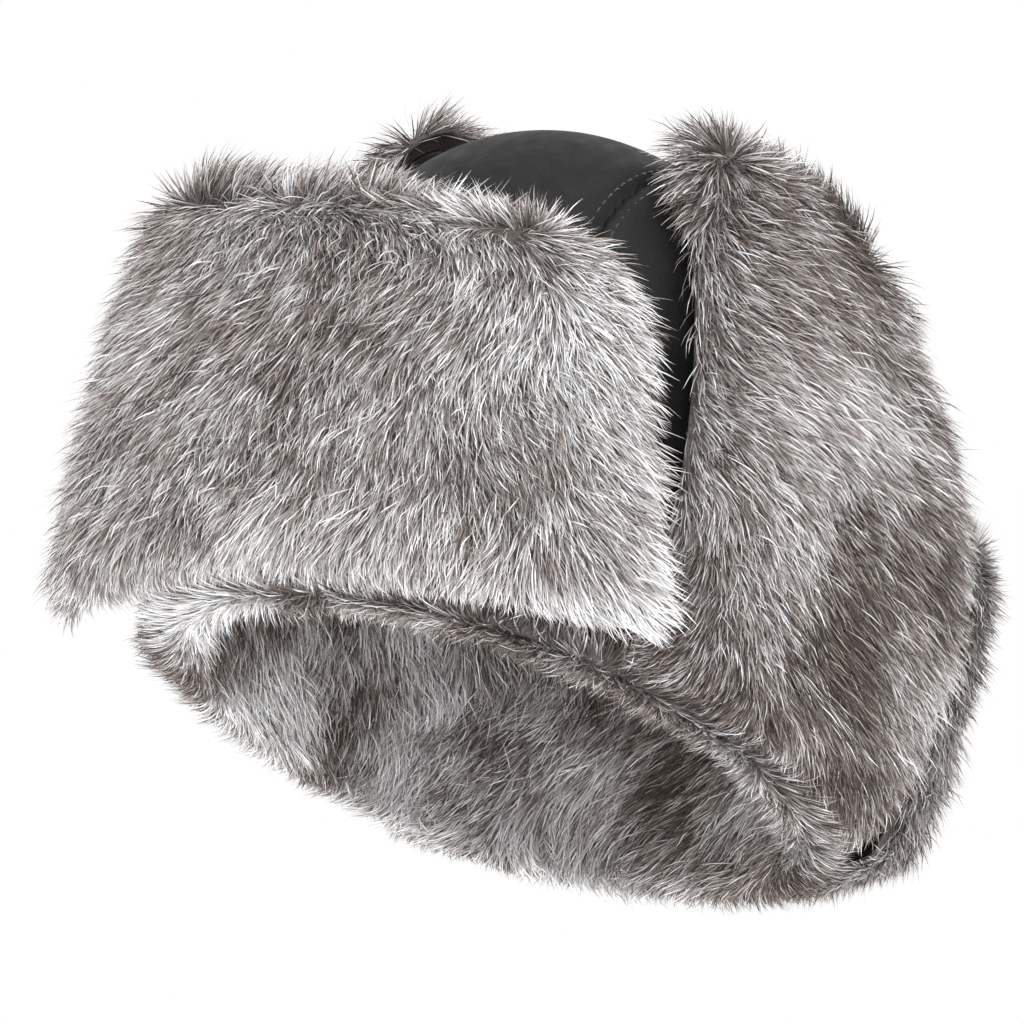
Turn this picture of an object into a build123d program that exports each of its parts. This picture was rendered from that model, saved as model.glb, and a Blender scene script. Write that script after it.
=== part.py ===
"""A fur trapper hat with all its flaps turned up, in millimetres.

The hat stands on its rim: Z is up, the front flap faces -Y and the wearer's left is +X.
The origin is the middle of the head opening, in the plane that the rim rests on.
"""

import math
import os
from dataclasses import dataclass

from build123d import *

# Driving dimensions of the crown
RIM_HALF_WIDTH = 92.0  # outside of the leather at the rim, across the head
RIM_HALF_LENGTH = 112.0  # the same, front to back
CROWN_HEIGHT = 172.0
END_RADIUS = 80.0  # of the oval's front and back
WALL_TAPER = 9.0
SHOULDER_RADIUS = 66.0  # where the wall turns over into the top
CENTRE_PANEL_HALF_WIDTH = 44.0
LEATHER = 1.2
WADDING = 4.0
QUILTED_LINING = 2.4
LINING_PILE = 13.0
LINING_PILE_HEIGHT = 88.0
LINING_SEAM_Y = 10.0  # the inner fur's side seams stand a little behind the middle
RIM_TAPE_HEIGHT = 10.0

# Driving dimensions of the flaps
INTERLINING = 2.0
INTERLINING_MARGIN = -4.0  # the interlining stops inside the leather's edge
PILE = 18.0
PILE_MARGIN = 10.0  # the fur stands past the leather's edge
FOLD_CLEARANCE = 0.6  # between the crown's leather and a turned-up flap's leather

# The cord that ties the ear flaps over the crown
CORD_RADIUS = 1.6
CORD_LIFT = 0.3  # between the cord and the crown
KNOT_Y = -10.0
KNOT_CORE_RADIUS = 2.2
KNOT_PITCH = 2.6  # from one turn of the knot to the next

FAR = 500.0  # longer than anything in the hat


def dome(inset):
    """The solid under the crown's outer surface, moved in by inset.

    Its plan is an oval of four arcs that meet smoothly. Its wall tapers, and a large round
    shoulder closes it over the top.
    """
    end_centre = RIM_HALF_LENGTH - END_RADIUS
    width_past_end = RIM_HALF_WIDTH - END_RADIUS
    side_radius = (end_centre**2 + RIM_HALF_WIDTH**2 - END_RADIUS**2) / (2 * width_past_end)
    side_centre = side_radius - RIM_HALF_WIDTH
    half_side = math.degrees(math.atan2(end_centre, side_centre))
    with BuildPart() as solid:
        with BuildSketch():
            with BuildLine():
                for sign, turn in ((1, 0), (-1, 180)):
                    CenterArc(
                        (-sign * side_centre, 0),
                        side_radius - inset,
                        turn - half_side,
                        2 * half_side,
                    )
                    CenterArc(
                        (0, sign * end_centre),
                        END_RADIUS - inset,
                        turn + half_side,
                        180 - 2 * half_side,
                    )
            make_face()
        extrude(amount=CROWN_HEIGHT - inset, taper=WALL_TAPER)
        fillet(solid.faces().sort_by(Axis.Z)[-1].edges(), SHOULDER_RADIUS - inset)
    return solid.part


def dome_shell(outer_inset, inner_inset, low=0.0, high=FAR):
    """The layer of the crown between two insets, from height low to height high."""
    with BuildPart() as shell:
        add(dome(outer_inset))
        add(dome(inner_inset), mode=Mode.SUBTRACT)
        with BuildSketch(Plane.XY.offset(low)):
            Rectangle(FAR, FAR)
        extrude(amount=high - low, mode=Mode.INTERSECT)
    return shell.part


@dataclass
class Flap:
    """A flap turned up against the crown.

    In its own frame, X points away from the crown, Y runs along its fold and Z is up. Its plan
    is an arc of plan_radius. Its section leans out by lean degrees up to the height straight,
    and from there it bends in over the crown with bend_radius. Its outline is a list of corners
    (along, up) that starts and ends at the fold.
    """

    fold: tuple  # the fold's middle
    turn: float  # degrees about Z from the flap's frame to the hat's
    plan_radius: float
    lean: float
    straight: float
    bend_radius: float
    outline: list
    corner_radius: float

    def section_side(self, out):
        """Draws one side of the flap's upright section and returns its two ends."""
        below = 10.0  # the outline cuts the section off at the fold
        above = 205.0  # and at its top, which is lower than this
        bend = math.degrees(math.asin(above / self.bend_radius))
        lean = math.radians(self.lean)
        up = Vector(math.sin(lean), math.cos(lean))
        away = Vector(math.cos(lean), -math.sin(lean))
        centre = Vector(self.plan_radius, 0) + up * self.straight - away * self.bend_radius
        knee = centre + away * (self.bend_radius + out)
        foot = Line(knee - up * (self.straight + below), knee) @ 0
        top = CenterArc(centre, self.bend_radius + out, -self.lean, bend) @ 1
        return foot, top

    def grown_outline(self, margin):
        """The outline's corners, moved out by margin except at the fold."""
        return [(y + math.copysign(margin, y), z + margin * (z > 0)) for y, z in self.outline]

    def layer(self, inner, outer, margin=0.0):
        """The flap's layer between two distances from the crown, with its edge moved out."""
        corners = self.grown_outline(margin)
        with BuildPart() as piece:
            with BuildSketch(Plane.XZ):
                with BuildLine():
                    inner_foot, inner_top = self.section_side(inner)
                    outer_foot, outer_top = self.section_side(outer)
                    Line(inner_foot, outer_foot)
                    Line(inner_top, outer_top)
                make_face()
            revolve(axis=Axis.Z)
            with BuildSketch(Plane.YZ):
                with BuildLine():
                    FilletPolyline(*corners, radius=self.corner_radius + margin)
                    Line(corners[0], corners[-1])
                make_face()
            extrude(amount=FAR, mode=Mode.INTERSECT)
        to_fold = Pos(*self.fold) * Rot(0, 0, self.turn) * Pos(-self.plan_radius, 0, 0)
        return piece.part.moved(to_fold)

    def layers(self):
        """The flap's three layers, from the crown out: its leather, interlining and fur."""
        leather = FOLD_CLEARANCE + LEATHER
        interlining = leather + INTERLINING
        return {
            "leather": self.layer(FOLD_CLEARANCE, leather),
            "interlining": self.layer(leather, interlining, INTERLINING_MARGIN),
            "fur": self.layer(interlining, interlining + PILE, PILE_MARGIN),
        }


def write(piece, name):
    """Labels a finished piece and writes its STEP file."""
    piece.label = name
    export_step(piece, f"parts/{name}.step")


FLAPS = {
    "front_flap": Flap(
        fold=(0, -RIM_HALF_LENGTH, 0),
        turn=-90,
        plan_radius=165,
        lean=6.5,
        straight=30,
        bend_radius=700,
        outline=[(-98, 0), (-94, 116), (78, 96), (98, 0)],  # lower on the wearer's left
        corner_radius=16,
    ),
    "left_ear_flap": Flap(
        fold=(RIM_HALF_WIDTH, 0, 0),
        turn=0,
        plan_radius=170,
        lean=0,
        straight=20,
        bend_radius=310,
        outline=[(-54, 0), (-60, 165), (24, 168), (60, 122), (60, 0)],
        corner_radius=20,
    ),
    "neck_flap": Flap(
        fold=(0, RIM_HALF_LENGTH, 0),
        turn=90,
        plan_radius=120,
        lean=10,
        straight=20,
        bend_radius=300,
        outline=[(-82, 0), (-82, 108), (82, 108), (82, 0)],
        corner_radius=24,
    ),
}

os.makedirs("parts", exist_ok=True)

# The crown's leather: a centre panel from front to back, and a panel on each side of it
with BuildPart() as crown_centre_panel:
    add(dome_shell(0, LEATHER))
    Box(2 * CENTRE_PANEL_HALF_WIDTH, FAR, FAR, mode=Mode.INTERSECT)
write(crown_centre_panel.part, "crown_centre_panel")

with BuildPart() as crown_left_panel:
    add(dome_shell(0, LEATHER))
    split(bisect_by=Plane.YZ.offset(CENTRE_PANEL_HALF_WIDTH), keep=Keep.TOP)
write(crown_left_panel.part, "crown_left_panel")

with BuildPart() as crown_right_panel:
    add(mirror(crown_left_panel.part, about=Plane.YZ, mode=Mode.PRIVATE))
write(crown_right_panel.part, "crown_right_panel")

# Inside the leather: wadding, a tape that holds the rim's shape, and the quilted lining
with BuildPart() as crown_wadding:
    add(dome_shell(LEATHER, LEATHER + WADDING, low=RIM_TAPE_HEIGHT))
write(crown_wadding.part, "crown_wadding")

with BuildPart() as rim_tape:
    add(dome_shell(LEATHER, LEATHER + WADDING, high=RIM_TAPE_HEIGHT))
write(rim_tape.part, "rim_tape")

with BuildPart() as quilted_lining:
    add(dome_shell(LEATHER + WADDING, LEATHER + WADDING + QUILTED_LINING, low=LINING_PILE_HEIGHT))
write(quilted_lining.part, "quilted_lining")

# The fur inside the rim is a front half and a back half, sewn together at the sides
pile_ring = dome_shell(LEATHER + WADDING, LEATHER + WADDING + LINING_PILE, high=LINING_PILE_HEIGHT)
seam_plane = Plane.XZ.offset(-LINING_SEAM_Y)
with BuildPart() as inner_fur_front:
    add(pile_ring)
    split(bisect_by=seam_plane, keep=Keep.TOP)
write(inner_fur_front.part, "inner_fur_front")

with BuildPart() as inner_fur_back:
    add(pile_ring)
    split(bisect_by=seam_plane, keep=Keep.BOTTOM)
write(inner_fur_back.part, "inner_fur_back")

# The flaps, with the right ear flap as the left one's mirror image
for flap_name, flap in FLAPS.items():
    for layer_name, layer_part in flap.layers().items():
        write(layer_part, f"{flap_name}_{layer_name}")
        if flap_name == "left_ear_flap":
            write(mirror(layer_part, about=Plane.YZ), f"right_ear_flap_{layer_name}")


# The tie cord is knotted on top of the crown, and its two ends go under the ear flaps' tips
cord_level = CROWN_HEIGHT + CORD_LIFT + CORD_RADIUS
knot_turns = 3
with BuildPart() as tie_knot:
    with Locations((0, KNOT_Y, cord_level + KNOT_CORE_RADIUS)):
        Cylinder(KNOT_CORE_RADIUS, knot_turns * KNOT_PITCH, rotation=(0, 90, 0))
        with GridLocations(KNOT_PITCH, 0, knot_turns, 1):
            Torus(KNOT_CORE_RADIUS, CORD_RADIUS, rotation=(0, 90, 0))
write(tie_knot.part, "tie_knot")

with BuildPart() as left_tie_cord:
    with BuildLine():
        route = FilletPolyline(
            (5.8, KNOT_Y, cord_level),
            (16, KNOT_Y - 4, cord_level),
            (29, KNOT_Y - 9, cord_level - 2),
            (41, KNOT_Y - 14, cord_level - 9),
            radius=26,
        )
    with BuildSketch(Plane(origin=route @ 0, z_dir=route % 0)):
        Circle(CORD_RADIUS)
    sweep()
write(left_tie_cord.part, "left_tie_cord")
write(mirror(left_tie_cord.part, about=Plane.YZ), "right_tie_cord")
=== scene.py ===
"""The looks of the trapper hat: long fur on its flaps and inside its rim, and a black leather crown.

Shapes are worked out in millimetres, as the CAD's own sizes are, and are made in metres.
"""

import math
from dataclasses import dataclass

import bmesh
import bpy
import numpy as np
from mathutils import Matrix, Vector


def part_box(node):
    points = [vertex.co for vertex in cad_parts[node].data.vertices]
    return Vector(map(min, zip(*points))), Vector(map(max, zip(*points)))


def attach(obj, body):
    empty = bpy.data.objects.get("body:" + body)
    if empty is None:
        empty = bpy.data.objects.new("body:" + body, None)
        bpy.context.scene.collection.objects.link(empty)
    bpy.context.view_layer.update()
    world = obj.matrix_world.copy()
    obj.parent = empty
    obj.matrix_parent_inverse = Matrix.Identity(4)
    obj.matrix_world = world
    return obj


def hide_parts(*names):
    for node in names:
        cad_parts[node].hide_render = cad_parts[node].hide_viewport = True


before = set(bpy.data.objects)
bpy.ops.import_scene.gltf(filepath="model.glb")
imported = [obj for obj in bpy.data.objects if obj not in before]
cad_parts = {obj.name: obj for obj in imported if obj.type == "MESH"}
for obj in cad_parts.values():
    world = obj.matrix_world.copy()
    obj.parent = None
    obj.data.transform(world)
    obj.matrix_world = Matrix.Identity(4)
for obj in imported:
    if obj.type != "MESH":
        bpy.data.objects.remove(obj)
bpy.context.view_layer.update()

MM = 0.001
SEED = 7

# ---------------------------------------------------------------- sizes shared with the CAD, in mm
crown_high = np.array(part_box("crown_centre_panel")[1]) / MM
RIM_HALF_LENGTH = crown_high[1]
RIM_HALF_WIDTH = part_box("crown_left_panel")[1][0] / MM
CROWN_HEIGHT = crown_high[2]
PANEL_HALF_WIDTH = crown_high[0]
LINING_PILE_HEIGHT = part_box("inner_fur_front")[1][2] / MM
WALL_TAPER = math.tan(math.radians(9))
SHOULDER_RADIUS = 66.0
SHOULDER_HEIGHT = CROWN_HEIGHT - SHOULDER_RADIUS  # the height of the shoulder's centre
LEATHER_INNER = 0.6  # a turned-up flap's leather lies between these distances from the crown
LEATHER_OUTER = 1.8
FUR_FROM = 3.8  # the CAD's fur starts this far out from the crown
FUR_MARGIN = 10.0  # and stands this far past the leather's edge


# ---------------------------------------------------------------- numbers
def rng(name):
    """A random generator of the piece's own, the same in each run."""
    return np.random.default_rng([SEED, *name.encode()])


def lattice_value(cell):
    """A repeatable value from 0 to 1 for each whole-numbered cell."""
    x, y, z = (cell[..., k].astype(np.int64) for k in range(3))
    mixed = (x * 374761393 + y * 668265263 + z * 2147483647 + 1013904223) & 0xFFFFFFFF
    mixed = ((mixed ^ (mixed >> 13)) * 1274126177) & 0xFFFFFFFF
    return ((mixed ^ (mixed >> 16)) & 0xFFFF) / 65535.0


def noise(points, size, offset=0.0):
    """Smooth noise from 0 to 1 at points in mm, with blobs of about the given size."""
    scaled = points / size + offset
    cell = np.floor(scaled)
    f = scaled - cell
    f = f * f * (3 - 2 * f)
    total = np.zeros(points.shape[:-1])
    for corner in range(8):
        step = np.array([corner & 1, corner >> 1 & 1, corner >> 2 & 1])
        weight = np.prod(np.where(step, f, 1 - f), axis=-1)
        total += weight * lattice_value(cell + step)
    return total


def unit(v):
    """Vectors of the same directions with a length of 1."""
    return v / np.maximum(np.linalg.norm(v, axis=-1, keepdims=True), 1e-9)


def smoothstep(x, low, high):
    """Rises smoothly from 0 at low to 1 at high."""
    t = np.clip((x - low) / (high - low), 0, 1)
    return t * t * (3 - 2 * t)


# ---------------------------------------------------------------- meshes and materials
def new_object(name, verts_mm, faces, material):
    """A smoothly shaded mesh object, from points in mm."""
    mesh = bpy.data.meshes.new(name)
    mesh.from_pydata((np.asarray(verts_mm) * MM).tolist(), [], faces)
    mesh.validate()
    mesh.materials.append(material)
    mesh.polygons.foreach_set("use_smooth", [True] * len(mesh.polygons))
    obj = bpy.data.objects.new(name, mesh)
    bpy.context.scene.collection.objects.link(obj)
    return obj


def grid_faces(rows, columns, closed=False):
    """Quads of a grid of rows times columns points, whose last column may join its first."""
    faces = []
    for i in range(rows - 1):
        for j in range(columns if closed else columns - 1):
            k = (j + 1) % columns
            near, far = i * columns, (i + 1) * columns
            faces.append((near + j, near + k, far + k, far + j))
    return faces


def unit_grid(rows, columns):
    """A grid of b down the rows and a across the columns, each from 0 to 1."""
    return np.meshgrid(np.linspace(0, 1, rows), np.linspace(0, 1, columns), indexing="ij")


def thicken(obj, thickness_mm, offset):
    """Gives a sheet a thickness, inwards where offset is -1 and to both sides where it is 0."""
    thick = obj.modifiers.new("thickness", "SOLIDIFY")
    thick.thickness = thickness_mm * MM
    thick.offset = offset


NOISE_ROUGHNESS = 0.55


class Nodes:
    """A short way to write a material's nodes."""

    def __init__(self, name):
        self.material = bpy.data.materials.new(name)
        self.material.use_nodes = True
        self.tree = self.material.node_tree
        self.shader = self.tree.nodes["Principled BSDF"]

    def node(self, kind, **values):
        made = self.tree.nodes.new(kind)
        for key, value in values.items():
            setattr(made, key, value)
        return made

    def link(self, source, target):
        self.tree.links.new(source, target)

    def set(self, **values):
        for key, value in values.items():
            self.shader.inputs[key.replace("_", " ")].default_value = value

    def coordinates(self):
        return self.node("ShaderNodeTexCoord").outputs["Object"]

    def noise(self, scale, detail=3.0):
        made = self.node("ShaderNodeTexNoise")
        made.inputs["Scale"].default_value = scale
        made.inputs["Detail"].default_value = detail
        made.inputs["Roughness"].default_value = NOISE_ROUGHNESS
        self.link(self.coordinates(), made.inputs["Vector"])
        return made.outputs["Fac"]

    def ramp(self, source, stops):
        made = self.node("ShaderNodeValToRGB")
        elements = made.color_ramp.elements
        while len(elements) < len(stops):
            elements.new(0.5)
        for element, (place, colour) in zip(elements, stops):
            element.position = place
            element.color = (*colour, 1)
        self.link(source, made.inputs["Fac"])
        return made.outputs["Color"]

    def mix(self, factor, a, b):
        made = self.node("ShaderNodeMix", data_type="RGBA")
        for value, socket in ((factor, made.inputs[0]), (a, made.inputs[6]), (b, made.inputs[7])):
            if isinstance(value, (int, float)):
                socket.default_value = value
            elif isinstance(value, tuple):
                socket.default_value = (*value, 1)
            else:
                self.link(value, socket)
        return made.outputs[2]

    def bump(self, height, strength, distance_mm, after=None):
        made = self.node("ShaderNodeBump")
        made.inputs["Strength"].default_value = strength
        made.inputs["Distance"].default_value = distance_mm * MM
        self.link(height, made.inputs["Height"])
        if after is not None:
            self.link(after, made.inputs["Normal"])
        return made.outputs["Normal"]


HAIR_UV = "OFBake"  # hair colours are laid out in it one by one: across is the hair's shade, up is root to tip


def hair_material(name, shade=1.0):
    """Rabbit hair: each hair has a shade, and runs from a darker root to a paler tip."""
    n = Nodes(name)
    uv = n.node("ShaderNodeUVMap", uv_map=HAIR_UV)
    parts = n.node("ShaderNodeSeparateXYZ")
    n.link(uv.outputs[0], parts.inputs[0])
    across, along = parts.outputs[0], parts.outputs[1]

    def tone(*rgb):
        return tuple(c * shade for c in rgb)

    root = n.ramp(
        across,
        [
            (0.0, tone(0.022, 0.015, 0.012)),
            (0.5, tone(0.085, 0.069, 0.061)),
            (1.0, tone(0.28, 0.27, 0.268)),
        ],
    )
    tip = n.ramp(
        across,
        [
            (0.0, tone(0.040, 0.027, 0.021)),
            (0.25, tone(0.205, 0.158, 0.133)),
            (0.5, tone(0.44, 0.402, 0.386)),
            (0.75, tone(0.66, 0.655, 0.665)),
            (1.0, tone(0.92, 0.92, 0.93)),
        ],
    )
    rise = n.ramp(along, [(0.0, (0, 0, 0)), (0.25, (0.15,) * 3), (0.6, (0.75,) * 3), (1.0, (1, 1, 1))])
    n.link(n.mix(rise, root, tip), n.shader.inputs["Base Color"])
    n.set(Roughness=0.55, Specular_IOR_Level=0.35, Sheen_Weight=0.15, Sheen_Roughness=0.4)
    return n.material


def pelt_material():
    """The dense underfur that shows between the hairs."""
    n = Nodes("underfur")
    blotches = n.noise(45.0, 4.0)
    fine = n.noise(900.0, 2.0)
    blotch_colour = n.ramp(
        blotches,
        [(0.3, (0.055, 0.042, 0.036)), (0.55, (0.13, 0.115, 0.108)), (0.8, (0.23, 0.22, 0.215))],
    )
    n.link(n.mix(fine, blotch_colour, (0.07, 0.06, 0.055)), n.shader.inputs["Base Color"])
    n.link(n.bump(fine, 0.8, 0.8), n.shader.inputs["Normal"])
    n.set(Roughness=0.95, Specular_IOR_Level=0.1)
    return n.material


def leather_material():
    """Soft black leather with a fine grain, a little browner in patches."""
    n = Nodes("black_leather")
    broad = n.noise(28.0, 4.0)
    cells = n.node("ShaderNodeTexVoronoi", feature="DISTANCE_TO_EDGE")
    cells.inputs["Scale"].default_value = 900.0
    n.link(n.coordinates(), cells.inputs["Vector"])
    grain = n.ramp(cells.outputs["Distance"], [(0.0, (0, 0, 0)), (0.18, (1, 1, 1))])
    colour = n.ramp(
        broad,
        [(0.3, (0.0045, 0.0045, 0.0050)), (0.55, (0.0065, 0.0062, 0.0066)), (0.8, (0.012, 0.0085, 0.0080))],
    )
    n.link(n.mix(grain, (0.002, 0.002, 0.002), colour), n.shader.inputs["Base Color"])
    wrinkle = n.bump(n.noise(70.0, 5.0), 0.35, 1.2)
    n.link(n.bump(grain, 0.25, 0.12, after=wrinkle), n.shader.inputs["Normal"])
    rough = n.ramp(n.noise(160.0, 3.0), [(0.3, (0.5,) * 3), (0.7, (0.68,) * 3)])
    n.link(rough, n.shader.inputs["Roughness"])
    n.set(Specular_IOR_Level=0.22)
    return n.material


def woven_material(name, thread, gap, threads_per_m, roughness=0.85):
    """A plain weave: two sets of threads that cross."""
    n = Nodes(name)
    waves = []
    for direction in ("X", "Z"):
        wave = n.node("ShaderNodeTexWave", bands_direction=direction)
        wave.inputs["Scale"].default_value = threads_per_m / 20
        wave.inputs["Distortion"].default_value = 0.4
        n.link(n.coordinates(), wave.inputs["Vector"])
        waves.append(wave.outputs["Fac"])
    weave = n.node("ShaderNodeMath", operation="MAXIMUM")
    n.link(waves[0], weave.inputs[0])
    n.link(waves[1], weave.inputs[1])
    height = weave.outputs[0]
    n.link(n.ramp(height, [(0.35, gap), (0.9, thread)]), n.shader.inputs["Base Color"])
    n.link(n.bump(height, 0.5, 0.2), n.shader.inputs["Normal"])
    n.set(Roughness=roughness, Sheen_Weight=0.2)
    return n.material


UNDERFUR = pelt_material()
LEATHER = leather_material()
HAIR = hair_material("rabbit_hair")
# a paler copy of the flaps' hair for the fur inside the rim: painted light, standing in for light inside
# the hat
INNER_HAIR = hair_material("inner_rabbit_hair", 1.05)
CANVAS = woven_material("canvas_interlining", (0.62, 0.60, 0.54), (0.30, 0.28, 0.24), 1400)
TAPE = woven_material("black_tape", (0.02, 0.02, 0.022), (0.006, 0.006, 0.006), 1800)
WADDING = woven_material("white_wadding", (0.8, 0.8, 0.78), (0.6, 0.6, 0.58), 500)
SATIN = woven_material(
    "black_satin", (0.022, 0.022, 0.026), (0.010, 0.010, 0.012), 5200, roughness=0.35
)
CORD = woven_material(
    "braided_cord", (0.060, 0.048, 0.032), (0.012, 0.009, 0.006), 2400, roughness=0.7
)
THREAD = woven_material("black_thread", (0.03, 0.028, 0.03), (0.01, 0.01, 0.01), 6000, roughness=0.5)


# ---------------------------------------------------------------- the flaps' shapes
@dataclass
class Flap:
    """A turned-up flap's shape, close to the CAD's, in a frame with Y along its fold and Z up."""

    name: str
    fold: tuple  # the fold's middle
    turn: float  # degrees about Z from the flap's frame to the hat's
    plan_radius: float
    lean: float  # degrees that it leans out by, up to the height straight
    straight: float
    bend_radius: float  # with which it bends in over the crown above that
    heights: tuple  # the heights that its two side edges are given at
    low_edge: tuple
    high_edge: tuple
    corner: float  # radius of its two top corners
    tops: tuple = None  # the top's height at the two side edges, where it slopes
    bulge: float = 0.0  # how far the fur swells out over the back part
    fullness: tuple = (1, 1)  # how squarely the fur ends at each side, where 1 is well rounded
    mirrored: bool = False

    def top(self, a):
        """The leather's top edge, from 0 at one side to 1 at the other."""
        low, high = self.tops or (self.heights[-1],) * 2
        return low + (high - low) * a

    def reach(self, z, out):
        """Distance from the flap's own axis to its layer at height z, out from the crown."""
        lean = math.radians(self.lean)
        centre_r = self.plan_radius + math.sin(lean) * self.straight - math.cos(lean) * self.bend_radius
        centre_z = math.cos(lean) * self.straight + math.sin(lean) * self.bend_radius
        radius = self.bend_radius + out
        knee_r = centre_r + math.cos(lean) * radius
        knee_z = centre_z - math.sin(lean) * radius
        bent = centre_r + np.sqrt(np.maximum(radius**2 - (z - centre_z) ** 2, 1.0))
        return np.where(z > knee_z, bent, knee_r - (knee_z - z) * math.tan(lean))

    def world(self, y, z, out):
        """Points of the hat's frame from places along and up the flap."""
        x = np.sqrt(np.maximum(self.reach(z, out) ** 2 - y**2, 1.0)) - self.plan_radius
        turn = math.radians(self.turn)
        wx = self.fold[0] + x * math.cos(turn) - y * math.sin(turn)
        wy = self.fold[1] + x * math.sin(turn) + y * math.cos(turn)
        if self.mirrored:
            wx = -wx
        return np.stack(np.broadcast_arrays(wx, wy, z), axis=-1)

    def edges(self, z, margin):
        """The flap's two side edges at height z, grown by margin, with rounded top corners."""
        corner = self.corner + margin

        def inset(side):
            s = np.clip((self.top(side) + margin - z) / corner, 0, 1)
            return corner * (1 - np.sqrt(1 - (1 - s) ** 2))

        low = np.interp(z, self.heights, self.low_edge) - margin + inset(0)
        high = np.interp(z, self.heights, self.high_edge) + margin - inset(1)
        return low, high


# The flaps' edges are close to the CAD's, and were set against the photo
EAR = dict(
    fold=(RIM_HALF_WIDTH, 0),
    turn=0,
    plan_radius=170,
    lean=0,
    straight=20,
    bend_radius=310,
    heights=(0, 122, 165),
    low_edge=(-54, -54, -54),  # up to 6 mm further back than the CAD's
    high_edge=(60, 60, 26),
    corner=20,
    tops=(165, 168),
    bulge=11,
    fullness=(1, 4),
)
FAR_EAR = dict(  # the right one stands a little taller and squarer
    heights=(0, 136, 173),
    high_edge=(60, 60, 46),
    tops=(171, 174),
    mirrored=True,
)
FLAPS = [
    Flap(
        name="front_flap",
        fold=(0, -RIM_HALF_LENGTH),
        turn=-90,
        plan_radius=165,
        lean=6.5,
        straight=30,
        bend_radius=700,
        heights=(0, 96, 116),
        low_edge=(-98, -95, -94),
        high_edge=(96, 74, 72),  # narrower than the CAD's, so that the crown shows beside it
        corner=26,
        tops=(116, 96),
    ),
    Flap(name="left_ear_flap", **EAR),
    Flap(name="right_ear_flap", **{**EAR, **FAR_EAR}),
    Flap(
        name="neck_flap",
        fold=(0, RIM_HALF_LENGTH),
        turn=90,
        plan_radius=120,
        lean=10,
        straight=20,
        bend_radius=300,
        heights=(0, 108),
        low_edge=(-82, -82),
        high_edge=(82, 82),
        corner=24,
        fullness=(4, 4),
    ),
]

FOLD_DROP = 3.0  # the fur rolls this far under the fold
SKIN_MARGIN = FUR_MARGIN - 5  # the skin stops inside the fur's edge, and its hair goes on
SKIN_START = FUR_FROM - 2.5  # the skin's distance from the crown at its edges
PAD_DEPTH = 9.0  # the skin swells out by this
PAD_ROUND = 18.0  # over this distance from its edges
BULGE_FROM, BULGE_TO = -10, 45  # a bulge rises between these places along the fold
BULGE_HEIGHT = 75
BULGE_SPREAD = 55


def fur_patch(flap):
    """Returns the skin's surface under the flap's fur, as a function of a and b from 0 to 1."""

    def place(a, b):
        top = flap.top(a) + SKIN_MARGIN
        z = -FOLD_DROP + b * (top + FOLD_DROP)
        low, high = flap.edges(np.maximum(z, 0), SKIN_MARGIN)
        y = low + a * (high - low)
        to_side = np.minimum((y - low) * flap.fullness[0], (high - y) * flap.fullness[1])
        edge = np.minimum(to_side, np.minimum(top - z, z + FOLD_DROP))
        s = np.clip(edge / PAD_ROUND, 0, 1)
        pad = PAD_DEPTH * np.sqrt(1 - (1 - s) ** 2)
        bulge_here = np.exp(-(((z - BULGE_HEIGHT) / BULGE_SPREAD) ** 2))
        pad = pad + flap.bulge * s * smoothstep(y, BULGE_FROM, BULGE_TO) * bulge_here
        return flap.world(y, z, SKIN_START + pad)

    return place


def frame_of(place, a, b, step=0.004):
    """Points of a patch, with its outward normals and its two directions along a and b."""
    a0, a1 = np.clip(a - step, 0, 1), np.clip(a + step, 0, 1)
    b0, b1 = np.clip(b - step, 0, 1), np.clip(b + step, 0, 1)
    along = unit(place(a1, b) - place(a0, b))
    up = unit(place(a, b1) - place(a, b0))
    return place(a, b), unit(np.cross(along, up)), along, up


def scatter(place, count, random, cells=60):
    """Random places on a patch, evenly over its area, and that area in square mm."""
    a_edges = np.linspace(0, 1, cells + 1)
    mid = (a_edges[:-1] + a_edges[1:]) / 2
    a, b = np.meshgrid(mid, mid, indexing="ij")
    half = 0.5 / cells
    da = place(a + half, b) - place(a - half, b)
    db = place(a, b + half) - place(a, b - half)
    area = np.linalg.norm(np.cross(da, db), axis=-1).ravel()
    chosen = random.choice(area.size, count, p=area / area.sum())
    i, j = np.divmod(chosen, cells)
    return (i + random.random(count)) / cells, (j + random.random(count)) / cells, area.sum()


LOW_START = -5.0  # hairs that hang lower than this are bent up as if the hat rested on them
LOW_ROOM = 9.0  # and end within this much below it
HAIR_SECTIONS = 4
HAIRS_PER_PIECE = 38000

# One hair's ribbon: three pairs of points and a tip, joined by two quads and a triangle
RIBBON_POINTS = 7
RIBBON_FACES = 3
RIBBON_CORNERS = np.array([0, 1, 3, 2, 2, 3, 5, 4, 4, 5, 6])
RIBBON_FACE_SIZES = np.array([4, 4, 3])
RIBBON_HEIGHTS = np.array([0, 0, 1, 1, 2, 2, 3]) / 3  # of its points, from root to tip
RIBBON_TAPER = np.array([0.8, 1.0, 0.7])  # width of its three pairs
HAIR_WIDTHS = (0.24, 0.50)  # in mm, from the thinnest hair to the thickest

HEADING_SPREAD = 0.16  # how much the hairs' headings differ
LIFT_SPREAD = 0.10
LENGTH_RANGE = (0.7, 1.15)
RIM_SHARE = 0.12  # in this share of a patch, next to the fold or the rim, hairs are shorter
RIM_LENGTH = 0.6  # down to this share of their length
BEND_SHARES = (0.33, 0.35, 0.32)  # of a hair's length, from one of its points to the next
TIP_LIE = 0.55  # how much a hair's tip turns to its lie
TIP_DROP = 0.12  # and back to the skin
LOCK_SIZE = 4.2  # hairs rooted in one block of this size turn their tips the same way
LOCK_PULL = 0.55
LOCK_PULL_STEP = 57  # keeps a lock's three pulls and its shade unlike each other
LOCK_SHADE_STEP = 991
LOCK_SHADE_SPREAD = 0.22
HAIR_SHADE_SPREAD = 0.32
SHADE_RANGE = (0.02, 0.98)


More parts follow.
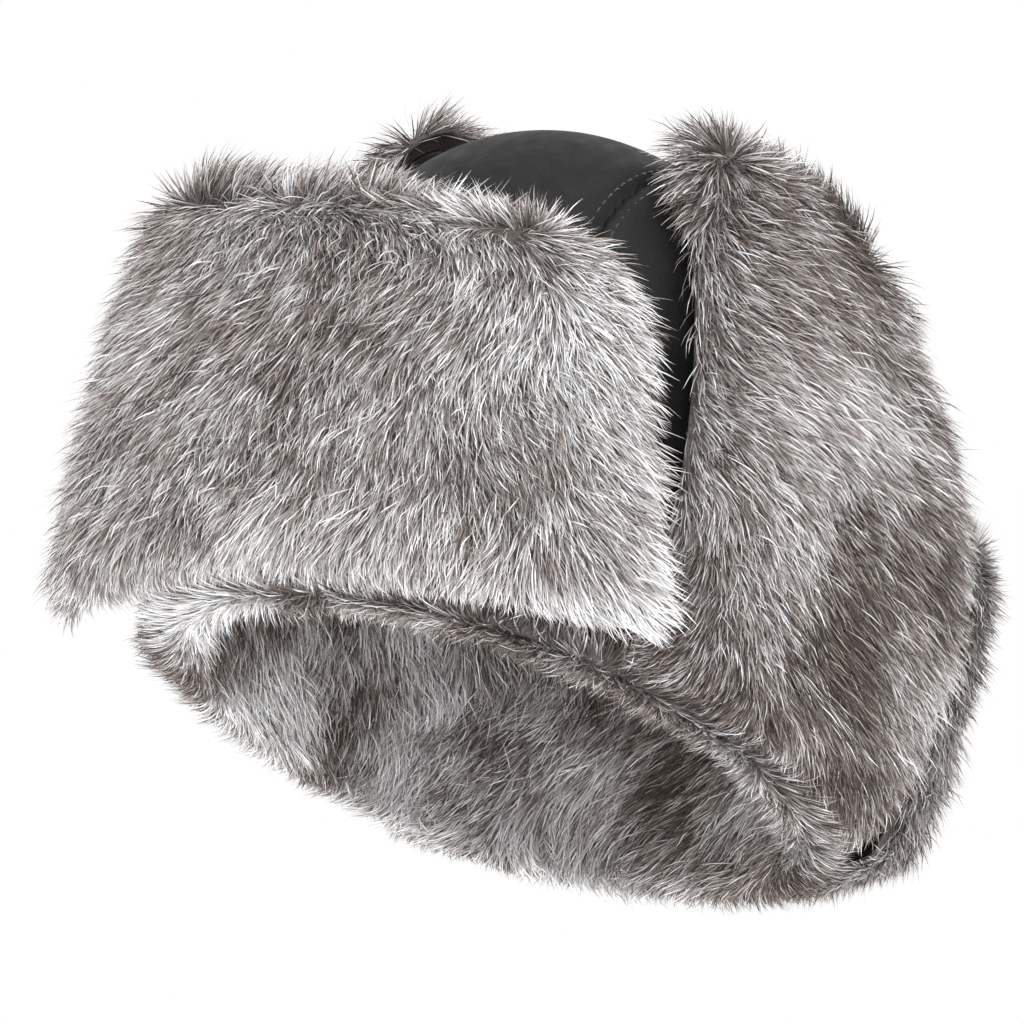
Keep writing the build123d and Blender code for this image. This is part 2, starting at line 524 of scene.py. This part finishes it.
def ribbon_points(path, side, widths):
    """The seven points of each hair's ribbon, in mm."""
    verts = np.empty((len(path), RIBBON_POINTS, 3))
    for k, taper in enumerate(RIBBON_TAPER):
        reach = side * (widths * taper / 2)[:, None]
        verts[:, 2 * k] = path[:, k] - reach
        verts[:, 2 * k + 1] = path[:, k] + reach
    verts[:, -1] = path[:, -1]
    return verts


def ribbon_mesh(name, verts, shade):
    """A mesh of ribbons, with each hair's shade and its heights in a UV layer."""
    count = len(verts)
    loops = (RIBBON_CORNERS[None, :] + RIBBON_POINTS * np.arange(count)[:, None]).ravel()
    totals = np.tile(RIBBON_FACE_SIZES, count)
    starts = np.concatenate([[0], np.cumsum(totals)[:-1]])
    mesh = bpy.data.meshes.new(name)
    mesh.vertices.add(RIBBON_POINTS * count)
    mesh.vertices.foreach_set("co", (verts * MM).ravel().astype(np.float32))
    mesh.loops.add(len(loops))
    mesh.loops.foreach_set("vertex_index", loops.astype(np.int32))
    mesh.polygons.add(RIBBON_FACES * count)
    mesh.polygons.foreach_set("loop_start", starts.astype(np.int32))
    mesh.polygons.foreach_set("loop_total", totals.astype(np.int32))
    layer = mesh.uv_layers.new(name=HAIR_UV)
    uv = np.empty((count, len(RIBBON_CORNERS), 2))
    uv[..., 0] = shade[:, None]
    uv[..., 1] = (0.01 + 0.98 * RIBBON_HEIGHTS[RIBBON_CORNERS])[None, :]
    layer.data.foreach_set("uv", uv.ravel().astype(np.float32))
    mesh.polygons.foreach_set("use_smooth", np.ones(RIBBON_FACES * count, dtype=bool))
    mesh.update(calc_edges=True)
    return mesh


def hair_meshes(name, path, shade, widths, material, body):
    """Hairs as thin tapering ribbons. path holds each hair's points, from root to tip."""
    count = len(path)
    random = rng(name + "ribbon")
    heading = unit(path[:, -1] - path[:, 0])
    spin = unit(random.normal(size=(count, 3)))
    side = unit(np.cross(heading, spin))
    for number, first in enumerate(range(0, count, HAIRS_PER_PIECE)):
        part = slice(first, min(first + HAIRS_PER_PIECE, count))
        verts = ribbon_points(path[part], side[part], widths[part])
        mesh = ribbon_mesh(f"{name}_{number + 1}", verts, shade[part])
        mesh.materials.append(material)
        obj = bpy.data.objects.new(mesh.name, mesh)
        bpy.context.scene.collection.objects.link(obj)
        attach(obj, body)


def bent_path(root, heading, tip_heading, reach):
    """Each hair's points, which start along heading and bend over to tip_heading."""
    path = np.empty((len(root), HAIR_SECTIONS, 3))
    path[:, 0] = root
    headings = (heading, unit(heading + tip_heading), tip_heading)
    for k, (share, direction) in enumerate(zip(BEND_SHARES, headings)):
        path[:, k + 1] = path[:, k] + direction * (reach * share)[:, None]
    return path


def bend_up(path):
    """Bends hairs that hang lower than LOW_START up again."""
    below = np.minimum(path[..., 2] - LOW_START, 0)
    path[..., 2] += -below - LOW_ROOM * (1 - np.exp(below / LOW_ROOM))


def grow(name, place, flow, per_cm2, length, lift, shade_of, body, material):
    """Fur on a patch: flow gives each hair's lie on the skin, and lift how far it stands off."""
    random = rng(name)
    _, _, area = scatter(place, 10, rng(name + "area"))
    count = int(area / 100 * per_cm2)
    a, b, _ = scatter(place, count, random)
    root, normal, along, up = frame_of(place, a, b)
    lie = flow(a, b, root)
    lie = unit(along * lie[..., :1] + up * lie[..., 1:2])
    stray = random.normal(size=(count, 3)) * HEADING_SPREAD
    lift_here = (lift + random.normal(size=count) * LIFT_SPREAD)[:, None]
    heading = unit(lie * (1 - lift_here) + normal * lift_here + stray)
    reach = length * random.uniform(*LENGTH_RANGE, count) * (0.8 + 0.4 * noise(root, 14, 31.0))
    reach = reach * (RIM_LENGTH + (1 - RIM_LENGTH) * smoothstep(b, 0.0, RIM_SHARE))
    lock = np.floor(root / LOCK_SIZE)
    pull = np.stack([lattice_value(lock + k * LOCK_PULL_STEP) for k in (1, 2, 3)], axis=-1) - 0.5
    tip_heading = unit(unit(heading + lie * TIP_LIE - normal * TIP_DROP) + pull * LOCK_PULL)
    path = bent_path(root, heading, tip_heading, reach)
    bend_up(path)
    lock_shade = (lattice_value(lock + LOCK_SHADE_STEP) - 0.5) * LOCK_SHADE_SPREAD
    shade = shade_of(a, b, root) + lock_shade + random.normal(size=count) * HAIR_SHADE_SPREAD
    widths = random.uniform(*HAIR_WIDTHS, count)
    hair_meshes(name, path, np.clip(shade, *SHADE_RANGE), widths, material, body)


def edge_flow(base, a, b, root, sides=(1.5, 1.5), rise=1.9):
    """Turns a hair's lie outwards near the free edges of its patch."""
    reach = 0.07 + 0.10 * noise(root, 9, 17.0)
    across = sides[1] * smoothstep(a, 1 - reach, 1) - sides[0] * (1 - smoothstep(a, 0, reach))
    up = rise * smoothstep(b, 1 - reach, 1)
    return np.stack([base[0] + across, base[1] + up], axis=-1)


def front_flow(a, b, root):
    """Down over the front, fanning out towards the sides and the top edge."""
    turn = (noise(root, 38, 3.0) - 0.5) * 1.5 + (noise(root, 13, 9.0) - 0.5) * 1.0
    side = (a - 0.5) * 0.5
    return edge_flow((side + np.sin(turn) * 0.7, -np.cos(turn * 0.8)), a, b, root, sides=(1.4, 0.8))


def ear_flow(a, b, root):
    """Down over the flap and a little towards the back."""
    turn = (noise(root, 42, 5.0) - 0.5) * 2.4 + (noise(root, 14, 2.0) - 0.5) * 1.1
    return edge_flow((np.sin(turn) * 0.8 + 0.45, -0.75 + 0 * a), a, b, root, sides=(0.7, 0.3), rise=1.5)


def neck_flow(a, b, root):
    """Down over the flap, turned this way and that in patches."""
    turn = (noise(root, 42, 7.0) - 0.5) * 2.4 + (noise(root, 14, 4.0) - 0.5) * 1.1
    return edge_flow((np.sin(turn) * 0.8, -0.8 + 0 * a), a, b, root, sides=(0.4, 0.4))


def mottled(light, dark_share, offset):
    """Shades with brown patches: low is dark brown, high is nearly white."""

    def shade(a, b, root):
        broad = noise(root, 34, offset)
        small = noise(root, 11, offset + 5)
        return light + (broad - 0.5) * dark_share + (small - 0.5) * 0.34

    return shade


def front_shade(a, b, root):
    """Paler along the lower edge and in a band near the wearer's left side; the even rise across the flap
    towards the wearer's left is painted light, as if the flap were lit from that side.
    """
    # 0.10 * a is painted light: the flap grows paler towards the wearer's left
    base = mottled(0.49, 0.42, 2.0)(a, b, root) + 0.10 * a
    return base + 0.14 * smoothstep(a, 0.70, 0.95) + 0.18 * (1 - smoothstep(b, 0.02, 0.10))


FLOWS = {
    "front_flap": front_flow,
    "left_ear_flap": ear_flow,
    "right_ear_flap": ear_flow,
    "neck_flap": neck_flow,
}
SHADES = {
    "front_flap": front_shade,
    "left_ear_flap": mottled(0.33, 0.9, 4.0),
    "right_ear_flap": mottled(0.46, 0.70, 6.0),
    "neck_flap": mottled(0.44, 0.70, 8.0),
}
HAIRS_PER_CM2 = 200
FLAP_HAIR_LENGTH = 13.5
FLAP_HAIR_LIFT = 0.34
SKIN_ROWS = 72
SKIN_THICKNESS = 1.5
FLAP_LAYER_FOOT = 0.3  # a flap's leather and canvas start this far above the rim's plane


def make_flap(flap):
    """A flap's fur with its skin, its leather and its interlining."""
    place = fur_patch(flap)
    b, a = unit_grid(SKIN_ROWS, SKIN_ROWS)
    points = place(a, b).reshape(-1, 3)
    skin = new_object(f"{flap.name}_skin", points, grid_faces(SKIN_ROWS, SKIN_ROWS), UNDERFUR)
    thicken(skin, SKIN_THICKNESS, -1)
    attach(skin, flap.name)
    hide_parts(f"{flap.name}_fur")
    grow(
        f"{flap.name}_hair",
        (lambda a, b: place(1 - a, b)) if flap.mirrored else place,
        FLOWS[flap.name],
        HAIRS_PER_CM2,
        FLAP_HAIR_LENGTH,
        FLAP_HAIR_LIFT,
        SHADES[flap.name],
        flap.name,
        HAIR,
    )
    make_flap_layer(
        flap, "leather", out=LEATHER_INNER + 0.7, thickness=1.0, margin=-0.5, material=LEATHER
    )
    make_flap_layer(
        flap, "interlining", out=LEATHER_OUTER + 1.0, thickness=1.6, margin=-6.0, material=CANVAS
    )


def make_flap_layer(flap, layer, out, thickness, margin, material):
    """The flap's leather, which lies against the crown, or the canvas between it and the fur."""
    rows, columns = 60, 64
    b, a = unit_grid(rows, columns)
    z = b * (flap.top(a) + margin) + FLAP_LAYER_FOOT
    low, high = flap.edges(z, margin)
    y = low + a * (high - low)
    points = flap.world(y, z, out).reshape(-1, 3)
    sheet = new_object(f"{flap.name}_{layer}_sheet", points, grid_faces(rows, columns), material)
    thicken(sheet, thickness, 0)
    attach(sheet, flap.name)
    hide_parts(f"{flap.name}_{layer}")


# ---------------------------------------------------------------- the crown
PLAN_POWER = 2 / 2.12  # makes the crown's plan a little squarer than an ellipse
SEAM_CUTS = (-2.0, 0.0, 2.0)  # beside each seam, so that there are points to shape its groove with
GROOVE_DEPTH, GROOVE_WIDTH = 1.0, 1.3
RIDGE_HEIGHT, RIDGE_PLACE, RIDGE_WIDTH = 0.7, 5, 4
PUCKER_HEIGHT, PUCKER_SIZE = 0.8, 7.0
SLACK_HEIGHT, SLACK_SIZE = 1.1, 30.0
PANEL_THICKNESS = 1.0
FAR = 500  # further out than anything in the hat
CROWN_OUT = 0.3  # the leather is made this far out from the CAD's surface
CAP_SHARES = (0.75, 0.5, 0.25)  # rings in the flat middle of the top, as shares of its edge
CAP_RISE = 1.2  # how far those rings rise towards the middle
CAP_MIDDLE = 1.25  # and the middle itself, over the crown's height


def crown_half_sizes(z):
    """Half width and half length of the crown's outside at height z."""
    knee = SHOULDER_HEIGHT + SHOULDER_RADIUS * math.sin(math.atan(WALL_TAPER))
    centre = WALL_TAPER * SHOULDER_HEIGHT + SHOULDER_RADIUS / math.cos(math.atan(WALL_TAPER))
    inset = np.where(
        z > knee,
        centre - np.sqrt(np.maximum(SHOULDER_RADIUS**2 - (z - SHOULDER_HEIGHT) ** 2, 0)),
        WALL_TAPER * z,
    )
    return RIM_HALF_WIDTH - inset, RIM_HALF_LENGTH - inset


def crown_points(angle, z, out=0.0):
    """Points of the crown's outside, moved out by a distance."""
    wide, long = crown_half_sizes(np.maximum(z, 0))
    c, s = np.cos(angle), np.sin(angle)
    x = (wide + out) * np.sign(c) * np.abs(c) ** PLAN_POWER
    y = (long + out) * np.sign(s) * np.abs(s) ** PLAN_POWER
    return np.stack(np.broadcast_arrays(x, y, z), axis=-1)


def crown_levels(low, wall_count, first_turn, last_turn, shoulder_count):
    """Heights up the crown's wall from low, and then over its shoulder between two angles."""
    wall = np.linspace(low, SHOULDER_HEIGHT, wall_count)
    shoulder = SHOULDER_HEIGHT + SHOULDER_RADIUS * np.sin(
        np.linspace(first_turn, last_turn, shoulder_count)
    )
    return np.concatenate([wall, shoulder])


def around(columns, levels):
    """A grid of angles around the crown at each of its levels."""
    angles = np.linspace(0, 2 * math.pi, columns, endpoint=False)
    return np.meshgrid(angles, levels, indexing="xy")


def closed_top(flat, rows, columns, top):
    """Closes a grid of rings with a fan of triangles to one point, and returns points and faces."""
    faces = grid_faces(rows, columns, closed=True)
    last = (rows - 1) * columns
    flat = np.vstack([flat, [top]])
    faces += [(last + j, last + (j + 1) % columns, len(flat) - 1) for j in range(columns)]
    return flat, faces


def crown_surface():
    """The crown's outside as one surface, from the rim to the middle of its top."""
    columns = 288
    levels = crown_levels(0.3, 34, 0.03, math.pi / 2, 44)
    angle, z = around(columns, levels)
    points = crown_points(angle, z, CROWN_OUT)
    cap = []
    for share in CAP_SHARES:
        inner = points[-1] * np.array([share, share, 1])
        inner[:, 2] += CAP_RISE * (1 - share**2)
        cap.append(inner)
    points = np.concatenate([points, np.stack(cap)])
    middle = [0, 0, CROWN_HEIGHT + CAP_MIDDLE]
    return closed_top(points.reshape(-1, 3), len(points), columns, middle)


def cut_at_seams(whole):
    """Cuts the crown's surface along its two seams and close beside them."""
    for x in (-PANEL_HALF_WIDTH, PANEL_HALF_WIDTH):
        for shift in SEAM_CUTS:
            everything = whole.verts[:] + whole.edges[:] + whole.faces[:]
            point = (x + shift, 0, 0)
            bmesh.ops.bisect_plane(
                whole, geom=everything, plane_co=point, plane_no=(1, 0, 0), dist=1e-4
            )


def puff(whole):
    """Sinks the seams in, puckers the leather beside them and makes the panels uneven."""
    whole.normal_update()
    for v in whole.verts:
        d = abs(abs(v.co.x) - PANEL_HALF_WIDTH)
        p = np.array(v.co)
        near_seam = math.exp(-((d / PUCKER_SIZE) ** 2))
        pucker = (noise(p[None], PUCKER_SIZE, 3)[0] - 0.5) * near_seam * PUCKER_HEIGHT
        groove = GROOVE_DEPTH * math.exp(-((d / GROOVE_WIDTH) ** 2))
        ridge = RIDGE_HEIGHT * math.exp(-(((d - RIDGE_PLACE) / RIDGE_WIDTH) ** 2))
        slack = (noise(p[None], SLACK_SIZE, 8)[0] - 0.5) * SLACK_HEIGHT
        v.co += v.normal * (ridge - groove + pucker + slack * min(1.0, p[2] / 30))


def faces_between(whole, low, high):
    """The points and faces of the part of a surface whose faces lie between two values of x."""
    whole.verts.index_update()
    index, verts, faces = {}, [], []
    for face in whole.faces:
        if not low < face.calc_center_median().x < high:
            continue
        loop = []
        for v in face.verts:
            if v.index not in index:
                index[v.index] = len(verts)
                verts.append(v.co[:])
            loop.append(index[v.index])
        faces.append(loop)
    return verts, faces


def make_crown():
    """The crown's three leather panels, puffed between their seams."""
    points, faces = crown_surface()
    whole = bmesh.new()
    made = [whole.verts.new(p) for p in points]
    for face in faces:
        whole.faces.new([made[i] for i in face])
    cut_at_seams(whole)
    puff(whole)
    for name, low, high in (
        ("crown_centre_panel", -PANEL_HALF_WIDTH, PANEL_HALF_WIDTH),
        ("crown_left_panel", PANEL_HALF_WIDTH, FAR),
        ("crown_right_panel", -FAR, -PANEL_HALF_WIDTH),
    ):
        panel_points, panel_faces = faces_between(whole, low, high)
        panel = new_object(f"{name}_leather", panel_points, panel_faces, LEATHER)
        thicken(panel, PANEL_THICKNESS, -1)
        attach(panel, "crown")
        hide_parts(name)
    whole.free()


# painted shadow: the inner fur is darkened around this point, where the back of the rim lies in shade
PAINTED_SHADOW_CENTRE = np.array([2.0, 92.0, 34.0])  # the inner fur is darkest inside the back of the rim
PAINTED_SHADOW_SIZE = 42
LINING_SEAM_SINE = 0.09  # of the angle that the inner fur's side seams stand behind the middle
LINING_SKIN = -8.0  # distance of the inner fur's skin from the crown's outside
LINING_EDGE = -1.0  # and of its edge, under the rim
ROLL_SHARE = 0.12  # the share of the patch that goes around the rim
ROLL_HEIGHT = -1.5
ROLL_DROP = 5.0
INNER_HAIR_LENGTH = 16.0
INNER_HAIR_LIFT = 0.36
INNER_HAIR_SHARE = 0.8  # of the flaps' hairs per square centimetre


def ring_patch(start, end):
    """Returns the inner fur's skin between two angles, as a function of a and b from 0 to 1."""

    def place(a, b):
        """b runs from the outside of the rim, under it, and up the inside."""
        angle = end + a * (start - end)
        roll = math.pi * np.clip(b / ROLL_SHARE, 0, 1)
        climb = (b - ROLL_SHARE) / (1 - ROLL_SHARE) * (LINING_PILE_HEIGHT - ROLL_HEIGHT)
        in_roll = b < ROLL_SHARE
        z = ROLL_HEIGHT + np.where(in_roll, -ROLL_DROP * np.sin(roll), climb)
        rolled = LINING_EDGE - (LINING_EDGE - LINING_SKIN) * (1 - np.cos(roll)) / 2
        return crown_points(angle, z, np.where(in_roll, rolled, LINING_SKIN))

    return place


def lining_flow(a, b, root):
    """Down towards the rim, turned this way and that in patches."""
    turn = (noise(root, 34, 12.0) - 0.5) * 2.6 + (noise(root, 12, 14.0) - 0.5) * 1.2
    return np.stack([np.sin(turn) * 0.9, -1.0 + 0 * a], axis=-1)


def lining_shade(a, b, root):
    """Blotched, with painted shade: darker deep in the hat, and darker still in a painted shadow inside the
    back of the rim.
    """
    broad = noise(root, 26, 20.0)
    small = noise(root, 9, 21.0)
    depth_shade = smoothstep(b, 0.35, 0.9)
    distance = np.sum((root - PAINTED_SHADOW_CENTRE) ** 2, axis=-1)
    painted_shadow = np.exp(-(distance / PAINTED_SHADOW_SIZE**2))
    # both darkenings here are painted shade: deep in the hat, and the painted shadow at the back
    return 0.52 + (broad - 0.5) * 1.1 + (small - 0.5) * 0.3 - 0.2 * depth_shade - 0.35 * painted_shadow


def make_lining():
    """The fur inside the rim, as a front and a back half."""
    rows, columns = 50, 150
    seam = math.asin(LINING_SEAM_SINE)
    for name, start, end in (
        ("inner_fur_front", math.pi - seam, 2 * math.pi + seam),
        ("inner_fur_back", seam, math.pi - seam),
    ):
        place = ring_patch(start, end)
        b, a = unit_grid(rows, columns)
        points = place(a, b).reshape(-1, 3)
        skin = new_object(f"{name}_skin", points, grid_faces(rows, columns), UNDERFUR)
        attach(skin, "crown")
        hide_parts(name)
        grow(
            f"{name}_hair",
            place,
            lining_flow,
            HAIRS_PER_CM2 * INNER_HAIR_SHARE,
            INNER_HAIR_LENGTH,
            INNER_HAIR_LIFT,
            lining_shade,
            "crown",
            INNER_HAIR,
        )


def make_cap():
    """The quilted lining in the top of the crown, in diamonds."""
    rows, columns = 90, 260
    wall_rows = 10
    low = LINING_PILE_HEIGHT - 4  # it starts a little under the fur's top
    inner = 7.4  # distance in from the crown's outside
    diamonds_per_half_turn = 10
    diamond_height = 26.0
    quilt_depth = 2.2
    levels = crown_levels(low, wall_rows, 0.02, math.pi / 2, rows - wall_rows)
    angle, z = around(columns, levels)
    points = crown_points(angle, z, -inner)
    points[..., 2] = np.minimum(points[..., 2], CROWN_HEIGHT - inner)
    turn = angle * diamonds_per_half_turn / math.pi
    climb = (z - low) / diamond_height
    one_way = np.abs(np.sin((turn + climb) * math.pi / 2))
    other_way = np.abs(np.sin((turn - climb) * math.pi / 2))
    quilt = np.sqrt(one_way * other_way).reshape(-1, 1)
    flat = points.reshape(-1, 3)
    middle = np.array([0, 0, 80.0])
    flat = flat - unit(flat - middle) * (quilt * quilt_depth)
    flat, faces = closed_top(flat, rows, columns, [0, 0, flat[-1][2]])
    cap = new_object("quilted_cap", flat, faces, SATIN)
    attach(cap, "crown")
    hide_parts("quilted_lining")


def crown_section(x, count):
    """Points over the crown from back to front in the plane at x, and the length over it."""
    angle = np.linspace(0.02, math.pi - 0.02, 240)
    levels = crown_levels(0.5, 60, 0.01, math.pi / 2 - 0.02, 120)
    half = []
    for z in levels:
        ring = crown_points(angle, z)
        order = np.argsort(ring[:, 0])
        y = np.interp(abs(x), ring[order, 0], ring[order, 1], right=np.nan)
        half.append((x, y, z))
    back = np.array([p for p in half if not np.isnan(p[1])])
    front = back[::-1] * np.array([1, -1, 1])
    line = np.concatenate([back, front])
    steps = np.concatenate([[0], np.cumsum(np.linalg.norm(np.diff(line, axis=0), axis=1))])
    even = np.linspace(0, steps[-1], count)
    points = np.stack([np.interp(even, steps, line[:, k]) for k in range(3)], axis=-1)
    return points, steps[-1]


STITCH_LENGTH, STITCH_PITCH, STITCH_RADIUS = 2.6, 3.6, 0.35
STITCH_LIFT = 0.75  # from the crown's outside, before its leather is puffed
STITCH_FROM_SEAM = 2.6
STITCH_SIDES = 6
STITCH_ENDS = ((-0.5, 0.4), (0.0, 1.0), (0.5, 0.4))  # places along a stitch, and its size there


def add_stitch(verts, faces, middle, heading, across, outward):
    """Adds one stitch, thickest in its middle, to lists of points and faces."""
    first = len(verts)
    for end, size in STITCH_ENDS:
        for turn in range(STITCH_SIDES):
            angle = turn * 2 * math.pi / STITCH_SIDES
            ring = across * math.cos(angle) + outward * math.sin(angle)
            verts.append(middle + heading * STITCH_LENGTH * end + ring * STITCH_RADIUS * size)
    for row in (0, STITCH_SIDES):
        for turn in range(STITCH_SIDES):
            a = first + row + turn
            b = first + row + (turn + 1) % STITCH_SIDES
            faces.append((a, b, b + STITCH_SIDES, a + STITCH_SIDES))
    faces.append(tuple(first + t for t in reversed(range(STITCH_SIDES))))
    faces.append(tuple(first + 2 * STITCH_SIDES + t for t in range(STITCH_SIDES)))


def make_stitching():
    """Two rows of topstitching, one on each side, along each of the crown's two seams."""
    verts, faces = [], []
    inside = np.array([0, 0, 60.0])
    for seam in (-PANEL_HALF_WIDTH, PANEL_HALF_WIDTH):
        for side in (-STITCH_FROM_SEAM, STITCH_FROM_SEAM):
            _, length = crown_section(seam + side, 2)
            points, _ = crown_section(seam + side, int(length / STITCH_PITCH) * 2)
            heading = unit(np.gradient(points, axis=0))
            across = unit(np.cross(heading, unit(points - inside)))
            outward = np.cross(across, heading)
            for k in range(0, len(points), 2):
                middle = points[k] + outward[k] * STITCH_LIFT
                add_stitch(verts, faces, middle, heading[k], across[k], outward[k])
    stitching = new_object("crown_stitching", verts, faces, THREAD)
    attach(stitching, "crown")


def make_small_parts():
    """The materials of the parts that stay as the CAD made them."""
    for node, material in (
        ("tie_knot", CORD),
        ("left_tie_cord", CORD),
        ("right_tie_cord", CORD),
        ("rim_tape", TAPE),
        ("crown_wadding", WADDING),
    ):
        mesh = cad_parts[node].data
        mesh.materials.clear()
        mesh.materials.append(material)


# ---------------------------------------------------------------- light, camera and floor
CAMERA_AZIMUTH = math.radians(38.0)  # from the hat's front towards its left
CAMERA_ELEVATION = math.radians(-20.5)
CAMERA_ROLL = math.radians(16.0)
CAMERA_DISTANCE = 1.4
CAMERA_LENS = 170
CAMERA_TARGET = Vector((2.6, -21.1, 55.9)) * MM
CAMERA_SHIFT = 2.7 * MM  # its aim is moved by this, up and to the left in the picture
FLOOR_SIZE = 12000
FLOOR_HEIGHT = -900
LAMP_TARGET = Vector((0, 0, 0.08))
LAMPS = (  # name, place and size in metres, power in watts
    ("key", (0.45, -1.4, 1.3), 0.9, 20),
    ("side", (1.6, -0.6, 0.7), 0.8, 8),
    ("low", (0.8, -1.0, -0.55), 0.7, 17),
    ("rim", (0.4, 1.5, 1.2), 0.8, 14),
)


def make_camera():
    """A camera that sees the hat from its front left and from below, leaning as in the photo."""
    level = math.cos(CAMERA_ELEVATION)
    back = Vector(
        (
            math.sin(CAMERA_AZIMUTH) * level,
            -math.cos(CAMERA_AZIMUTH) * level,
            math.sin(CAMERA_ELEVATION),
        )
    )
    right = Vector((math.cos(CAMERA_AZIMUTH), math.sin(CAMERA_AZIMUTH), 0))
    up = back.cross(right)
    rolled_right = right * math.cos(CAMERA_ROLL) + up * math.sin(CAMERA_ROLL)
    rolled_up = up * math.cos(CAMERA_ROLL) - right * math.sin(CAMERA_ROLL)
    target = CAMERA_TARGET + (rolled_up - rolled_right) * CAMERA_SHIFT
    camera = bpy.data.cameras.new("camera")
    camera.sensor_width = 36
    camera.lens = CAMERA_LENS
    camera.clip_start, camera.clip_end = 0.05, 50
    view = bpy.data.objects.new("camera", camera)
    axes = Matrix((rolled_right, rolled_up, back)).transposed().to_4x4()
    view.matrix_world = Matrix.Translation(target + back * CAMERA_DISTANCE) @ axes
    bpy.context.scene.collection.objects.link(view)
    bpy.context.scene.camera = view


def make_floor():
    """A pale floor, far below the hat."""
    pale = Nodes("pale_floor")
    tint = pale.ramp(pale.noise(3.0), [(0.3, (0.93,) * 3), (0.7, (0.96,) * 3)])
    pale.link(tint, pale.shader.inputs["Base Color"])
    pale.set(Roughness=0.9)
    signs = ((-1, -1), (1, -1), (1, 1), (-1, 1))
    corners = [(x * FLOOR_SIZE, y * FLOOR_SIZE, FLOOR_HEIGHT) for x, y in signs]
    floor = new_object("floor", corners, [(0, 1, 2, 3)], pale.material)


def make_lights():
    """A white surrounding and four soft lamps."""
    world = bpy.data.worlds.new("studio")
    bpy.context.scene.world = world
    world.use_nodes = True
    background = world.node_tree.nodes["Background"]
    background.inputs["Color"].default_value = (1, 1, 1, 1)
    background.inputs["Strength"].default_value = 1.0
    for name, place, size, power in LAMPS:
        lamp = bpy.data.lights.new(name, "AREA")
        lamp.size = size
        lamp.energy = power
        lamp_object = bpy.data.objects.new(name, lamp)
        lamp_object.location = place
        aim = LAMP_TARGET - Vector(place)
        lamp_object.rotation_euler = aim.to_track_quat("-Z", "Y").to_euler()
        bpy.context.scene.collection.objects.link(lamp_object)


def make_stage():
    """The camera, the floor and the light that the hat is rendered with."""
    make_camera()
    make_floor()
    make_lights()
    bpy.context.scene.view_settings.view_transform = "Standard"


make_stage()
for flap in FLAPS:
    make_flap(flap)
make_crown()
make_lining()
make_cap()
make_stitching()
make_small_parts()
